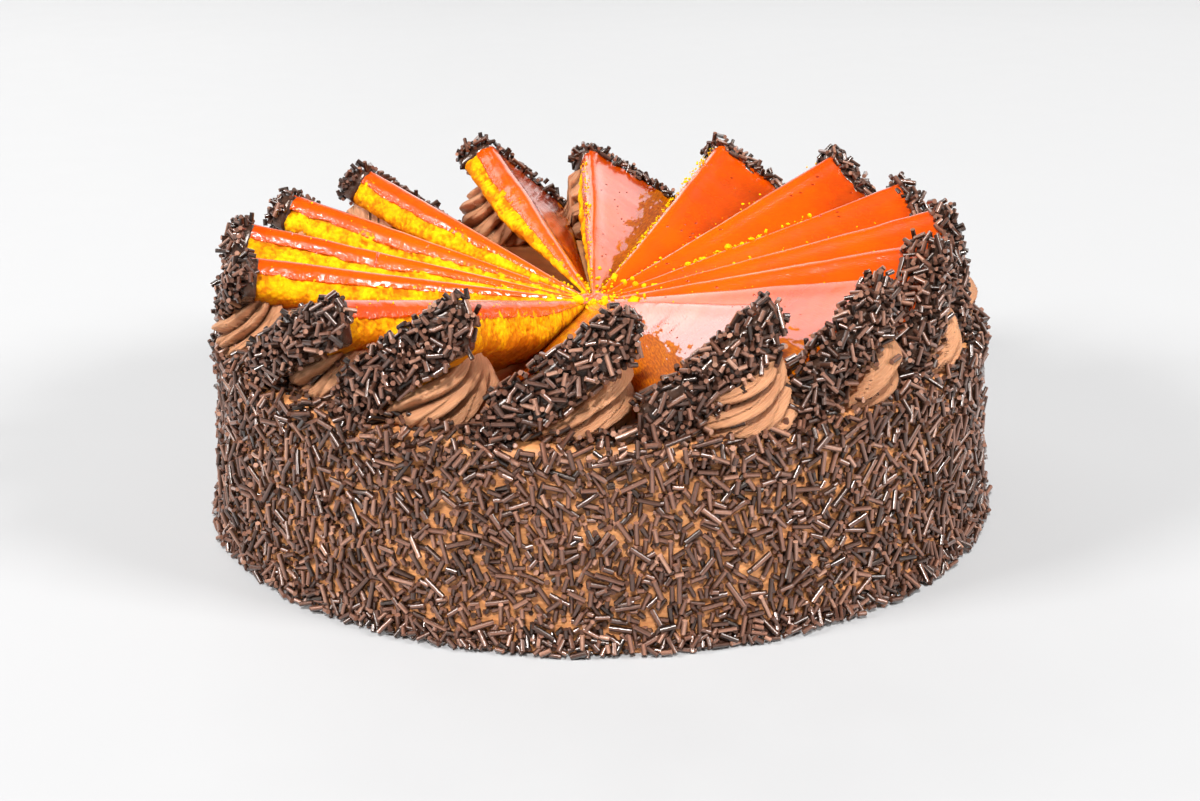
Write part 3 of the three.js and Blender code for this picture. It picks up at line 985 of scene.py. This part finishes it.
def rods(levels, middle, direction, half, radius, outward, bend, shift):
    """Points, faces, grain and outward facing of rods with flat ends, whose spines are cut at the levels and
    may be bent between them."""
    helper = np.where(np.abs(direction[:, 2:3]) < 0.8, [[0, 0, 1.0]], [[1.0, 0, 0]])
    first = unit(np.cross(direction, helper))
    second = np.cross(direction, first)
    theta = np.arange(SPRINKLE_SIDES) * TURN / SPRINKLE_SIDES
    ring = np.cos(theta)[:, None] * first[:, None, None] + np.sin(theta)[:, None] * second[:, None, None]
    reach = levels * half[:, None]
    sag = (1 - np.abs(levels)) * bend[:, None]
    spine = middle[:, None] + direction[:, None] * reach[..., None] + first[:, None] * sag[..., None]
    points = spine[:, :, None] + ring * radius[:, None, None, None]
    rows = len(levels)
    faces = copied_faces(tube(rows, SPRINKLE_SIDES), len(half), rows * SPRINKLE_SIDES)
    grain = stacked(np.cos(theta), np.sin(theta), (reach + shift[:, None])[..., None])
    # facing: how far each point of a rod faces out from the surface under it, for the painted shade on its
    # sides.
    facing = np.broadcast_to(np.einsum("nrsk,nk->nrs", ring, outward), points.shape[:3])
    return points.reshape(-1, 3), faces, grain.reshape(-1, 3), facing.ravel()


def sprinkle_mesh(name, rng, batches, material):
    """All sprinkles of one region as one mesh: straight ones, and a few that are slightly bent."""
    middle, direction, half, radius, rise, outward = (np.concatenate(part) for part in zip(*batches))
    count = len(half)
    bent = rng.random(count) < BENT_SHARE
    bend = rng.uniform(0.04, 0.13, count) * half
    # Each sprinkle's own brown at random, plus painted shade: the lower it lies over the cream, the darker.
    tint = np.clip(rng.normal(0.20, 0.19, count) + 0.2 * np.clip(rise, 0, 1.7), 0.0, 0.95)
    shift = rng.uniform(0, 50, count)
    shapes, grains, facings, tints, cuts = [], [], [], [], []
    for chosen, levels in ((~bent, [-1, 1]), (bent, [-1, 0, 1])):
        parts = [part[chosen] for part in (middle, direction, half, radius, outward, bend, shift)]
        points, faces, grain, facing = rods(np.array(levels), *parts)
        shapes.append((points, faces))
        grains.append(grain)
        facings.append(facing)
        own, side_count = tint[chosen], SPRINKLE_SIDES * (len(levels) - 1)
        tints += [np.repeat(own, side_count), np.repeat(own + 0.08, 2)]
        cuts.append(np.repeat([0.0, 1.0], [side_count * len(own), 2 * len(own)]))
    piece = make_mesh(name, *joined(shapes), material, smooth_angle=75)
    give_values(piece, "FACE", tint=np.concatenate(tints), cut=np.concatenate(cuts))
    give_values(piece, grain=np.concatenate(grains), facing=np.concatenate(facings))


def new_chart(on_surface, wide, high, start_u=0.0, wraps=False, relief=None):
    """A height map over a surface that is unrolled to wide by high millimetres."""
    cells = (int(wide / CELL) + (not wraps), int(high / CELL) + 1)
    base = np.zeros(cells) if relief is None else relief(cells)
    chart = SimpleNamespace(heights=base.copy(), on_surface=on_surface, wide=wide, start_u=start_u,
                            wraps=wraps, lowest=0.2, shown=1.3, clear=lambda point: True,
                            slack=lambda u: 1.0)

    def ground(u, v):
        i = int((u - start_u) / CELL) % cells[0]
        j = min(int(v / CELL), cells[1] - 1)
        return base[i, j], chart.heights[i, j]

    chart.ground = ground
    return chart


def body_chart():
    """The wall, the rim and the ledge behind it, unrolled."""

    def relief(cells):
        u, v = grid(np.arange(cells[0]) * CELL, np.arange(cells[1]) * CELL)
        return cream_relief(on_body(u, v)[0]).reshape(cells)

    return new_chart(on_body, TURN * CREAM_WALL_RADIUS, SHOULDER + 20, wraps=True, relief=relief)


def make_wall_sprinkles(rng, chart, material):
    """The coat on the wall, from the foot to the shoulder."""
    chart.band = (0.6, SHOULDER + 3)
    chart.clear = lambda point: rough(point, 26, 113) + rng.uniform(-1, 0.3, len(point)) < 0.35
    whole = scatter(rng, chart, 90000, (1.8, 9.4), 0.9, 6000, 1.7, steep=0.25, bare=0.7, standing=0.1)
    broken = scatter(rng, chart, 90000, (1.3, 3.6), 0.9, 3100, 1.7, steep=0.25, bare=0.97, standing=0.35)
    sprinkle_mesh("wall_sprinkles", rng, [whole, broken], material)


def make_rim_sprinkles(rng, chart, middles, material):
    """The heap along the rim, and fewer on the ledge between the rosettes, where cream shows."""

    def clear(point):
        gaps = np.linalg.norm(point[:, None, :2] - middles[None, :, :2], axis=2)
        inland = CREAM_RIM_RADIUS - 5 - np.hypot(*point[:, :2].T)
        patchy = rough(point, 16, 111) + np.clip(inland / 12, 0, 1)
        return (gaps.min(axis=1) > ROSETTE_CLEAR) & (patchy < 0.42)

    chart.band = (SHOULDER - 0.5, SHOULDER + 7)
    chart.clear = lambda point: rough(point, 20, 117) + rng.uniform(-0.5, 0.2, len(point)) < 0.12
    heap = scatter(rng, chart, 16000, (1.6, 8.8), 1.2, 2000, 3.6, steep=0.1, bare=0.25, standing=0.05,
                   steepest=0.6)
    chart.band = (SHOULDER + 7, SHOULDER + 19)
    chart.clear = clear
    ledge = scatter(rng, chart, 9000, (1.6, 8.5), 1.2, 1000, 2.0, steep=0.1, bare=0.6, standing=0.04,
                    steepest=0.6)
    sprinkle_mesh("rim_sprinkles", rng, [heap, ledge], material)


def on_foot(u, v):
    """The slope of the heap of sprinkles round the foot, from the ground up to the wall."""
    outward, along = round_frame(u / CREAM_FOOT_RADIUS)
    climb = UP * math.sin(FOOT_LEAN) - outward * math.cos(FOOT_LEAN)
    point = outward * (CREAM_FOOT_RADIUS + FOOT_REACH) + climb * v[..., None]
    return point, along, climb, outward * math.sin(FOOT_LEAN) + UP * math.cos(FOOT_LEAN)


def make_foot_sprinkles(rng, material):
    """Sprinkles that have dropped down and lie heaped against the foot."""
    chart = new_chart(on_foot, TURN * CREAM_FOOT_RADIUS, FOOT_SLOPE, wraps=True)
    chart.band = (0.8, FOOT_SLOPE - 0.5)
    chart.lowest = 0.4
    heap = scatter(rng, chart, 12000, (1.6, 7.5), 0.8, 1100, 1.2, bare=0.7, standing=0.03)
    sprinkle_mesh("foot_sprinkles", rng, [heap], material)


def make_dip_sprinkles(rng, places, material):
    """The sprinkles that the dipped ends were pressed into, two deep."""
    batches = []
    for place in places:
        high = dip_length(place)
        chart = new_chart(lambda u, v: on_dip(place, u, v), DIP_ARC + 2 * CAP_ARC, high, start_u=-CAP_ARC)
        chart.band = (0.2, high - DIP_BARE)
        chart.shown = 3.4
        chart.slack = lambda u: np.where((u < 0) | (u > DIP_ARC), 2.4, 1.0)
        batches.append(scatter(rng, chart, 6000, (1.6, 8.4), 1.5, 300, 1.9, bare=0.55, standing=0.07,
                               steepest=0.6))
    sprinkle_mesh("dip_sprinkles", rng, batches, material)


def make_loose_sprinkles(rng, swirls, material):
    """A few sprinkles that have stuck to the rosettes."""
    spots = []
    for points in swirls:
        rows = points[:-2].reshape(ROSETTE_RINGS, ROSETTE_SIDES, 3)
        for _ in range(LOOSE_TRIES):
            i, j = rng.integers(6, 36), rng.integers(0, ROSETTE_SIDES - 1)
            along = rows[i, j + 1] - rows[i, j]
            climb = rows[i + 1, j] - rows[i, j]
            normal = np.cross(along, climb)
            if np.linalg.norm(normal) < 1e-3 or np.linalg.norm(climb) < 0.2:
                continue
            normal /= np.linalg.norm(normal)
            turn = rng.uniform(0, TURN)
            across = climb / np.linalg.norm(climb)
            direction = across * math.cos(turn) + np.cross(normal, across) * math.sin(turn)
            spots.append((rows[i, j] + normal * SPRINKLE_RADIUS, direction, normal))
    middle, direction, outward = (np.array(part) for part in zip(*spots))
    half, radius = sprinkle_sizes(rng, len(middle), (2.5, 7.5))
    batch = (middle, direction, half, radius, 0 * half + 1, outward)
    sprinkle_mesh("loose_sprinkles", rng, [batch], material)


# ---------------------------------------------------------------- crumbs

def crumb_shape():
    """The corners and faces of a rough ball of unit size."""
    rows, sides = 5, 7
    share, turn = ring_grid(np.linspace(0.12, 0.88, rows), sides)
    lean = share * math.pi
    ball = stacked(np.sin(lean) * np.cos(turn), np.sin(lean) * np.sin(turn), np.cos(lean))
    return ball, tube_faces(ball, rows, sides)


def edge_crumbs(rng, place, number, biggest, start, end):
    """Middles and sizes of crumbs along a slice's raised edge."""
    radius = rng.uniform(start, end, number)
    scale = np.clip(thickness(place, radius) / SLICE_THICKNESS, 0.2, 1)
    size = biggest * rng.beta(1.2, 3.6, number) * (0.5 + 0.5 * scale) + 0.14
    off = rng.normal(0.45, 0.45, number) * scale
    depth = rng.uniform(-0.3, 2.2, number) * scale
    return on_slice(place, radius, np.full(number, SLICE_ANGLE), off, depth), size


def hub_crumbs(rng, place, number):
    """Middles and sizes of crumbs on a slice's narrow end."""
    radius = 4 + 26 * rng.beta(1.2, 2.2, number)
    turn = rng.uniform(0.1, 1, number) * SLICE_ANGLE
    size = rng.gamma(2.2, 0.22, number) + 0.12
    return on_slice(place, radius, turn, 0 * turn, 0 * turn - 0.4), size


def make_crumbs(rng, places, material):
    """Yellow crumbs that the knife left along the raised edges and round the hub."""
    batches = []
    for place in places:
        batches.append(edge_crumbs(rng, place, *CRUMBY_EDGES.get(place.number, FEW_CRUMBS)))
        batches.append(hub_crumbs(rng, place, HUB_CRUMBS))
    middle, size = (np.concatenate(part) for part in zip(*batches))
    ball, groups = crumb_shape()
    turned = np.linalg.qr(rng.normal(size=(len(middle), 3, 3)))[0]
    stretch = rng.uniform(0.6, 1.3, (len(middle), 1, 3))
    shape = np.einsum("nij,pj->npi", turned, ball) * stretch
    points = (middle[:, None] + shape * size[:, None, None]).reshape(-1, 3)
    lumps = stacked(*(rough(points, 0.9, seed) for seed in (121, 123, 125)))
    points = points + 0.45 * np.repeat(size, len(ball))[:, None] * lumps
    faces = copied_faces(groups, len(middle), len(ball))
    piece = make_mesh("sponge_crumbs", points, faces, material)
    pore = np.clip(0.75 + 0.3 * rough(points, 1.2, 127), 0, 1)
    give_values(piece, pore=pore, soak=0 * pore, crust=0 * pore)


# ---------------------------------------------------------------- stage

def make_floor():
    mesh = bpy.data.meshes.new("floor")
    corners = [(FLOOR_HALF * x, FLOOR_HALF * y, 0) for x, y in ((-1, -1), (1, -1), (1, 1), (-1, 1))]
    mesh.from_pydata(corners, [], [(0, 1, 2, 3)])
    mesh.materials.append(floor_look())
    floor = add_object("floor", mesh)


def make_camera():
    data = bpy.data.cameras.new("camera")
    data.lens = CAMERA_LENS
    data.sensor_width = CAMERA_SENSOR
    data.clip_end = 50
    camera = add_object("camera", data)
    place, aim = Vector(CAMERA_PLACE) * MM, Vector(CAMERA_AIM) * MM
    turn = (aim - place).to_track_quat("-Z", "Y").to_matrix().to_4x4()
    roll = Matrix.Rotation(math.radians(CAMERA_ROLL), 4, "Z")
    camera.matrix_world = Matrix.Translation(place) @ turn @ roll
    bpy.context.scene.camera = camera


def make_light(name, azimuth, elevation, distance, size, watts):
    """A softbox that looks at the middle of the cake's top from azimuth, anticlockwise from +X, and
    elevation, in degrees, and distance and size in metres."""
    data = bpy.data.lights.new(name, "AREA")
    data.shape = "RECTANGLE"
    data.size, data.size_y = size
    data.energy = watts
    light = add_object(name, data)
    turn, rise = math.radians(azimuth), math.radians(elevation)
    away = Vector((math.cos(turn) * math.cos(rise), math.sin(turn) * math.cos(rise), math.sin(rise)))
    light.location = Vector((0, 0, CREAM_TOP * MM)) + away * distance
    light.rotation_euler = (-away).to_track_quat("-Z", "Y").to_euler()
    light.visible_camera = False


def make_world():
    """A pale room, bright low down and darker towards the ceiling, which the glaze mirrors."""
    world = bpy.data.worlds.new("pale room")
    world.use_nodes = True
    tree = world.node_tree
    background = tree.nodes["Background"]
    way = tree.nodes.new("ShaderNodeTexCoord")
    split = tree.nodes.new("ShaderNodeSeparateXYZ")
    ramp = tree.nodes.new("ShaderNodeValToRGB")
    tree.links.new(way.outputs["Generated"], split.inputs["Vector"])
    tree.links.new(split.outputs["Z"], ramp.inputs["Fac"])
    tree.links.new(ramp.outputs["Color"], background.inputs["Color"])
    ramp.color_ramp.elements.new(0.5)
    for element, (height, level) in zip(ramp.color_ramp.elements, ROOM_LEVELS):
        element.position = height
        element.color = (*darker(ROOM_TINT, level), 1)
    bpy.context.scene.world = world


def make_lights():
    """A key high in front and one on each side, and broad softboxes low behind that the glaze mirrors."""
    make_light("key", 264, 50, 5.0, (0.6, 0.5), 275)
    make_light("left", 203, 31, 4.6, (1.2, 1.2), 160)
    make_light("right", 336, 31, 4.6, (1.2, 1.2), 160)
    make_light("back left", 120, 27, 4.6, (3.4, 3.0), 60)
    make_light("back right", 66, 20, 4.6, (4.2, 2.0), 30)


def main():
    scene = bpy.context.scene
    scene.view_settings.view_transform = "Standard"
    make_camera()
    make_floor()
    make_world()
    make_lights()
    rng = np.random.default_rng(16)
    numbers = range(1, SLICES + 1)
    places = [slice_frame(number) for number in numbers]
    coat = cream_look("cream coat", (0.82, 0.37, 0.145), (0.48, 0.175, 0.056))
    piped = cream_look("piped cream", (0.74, 0.36, 0.18), (0.40, 0.165, 0.075), flow="flow")
    chocolate = sprinkle_look()
    make_core(coat)
    caramel = caramel_look()
    sponge = sponge_look()
    for place in places:
        make_caramel(place, caramel)
        make_sponge(place, sponge)
    make_hub(caramel)
    make_dips(places, chocolate_look())
    swirls = [make_rosette(number, places, rng, piped) for number in numbers]
    middles = np.array([rosette_middle(number)[0] for number in numbers])
    chart = body_chart()
    make_wall_sprinkles(rng, chart, chocolate)
    make_rim_sprinkles(rng, chart, middles, chocolate)
    make_foot_sprinkles(rng, chocolate)
    make_dip_sprinkles(rng, places, chocolate)
    make_loose_sprinkles(rng, swirls, chocolate)
    make_crumbs(rng, places, sponge)


main()
bpy.context.view_layer.update()
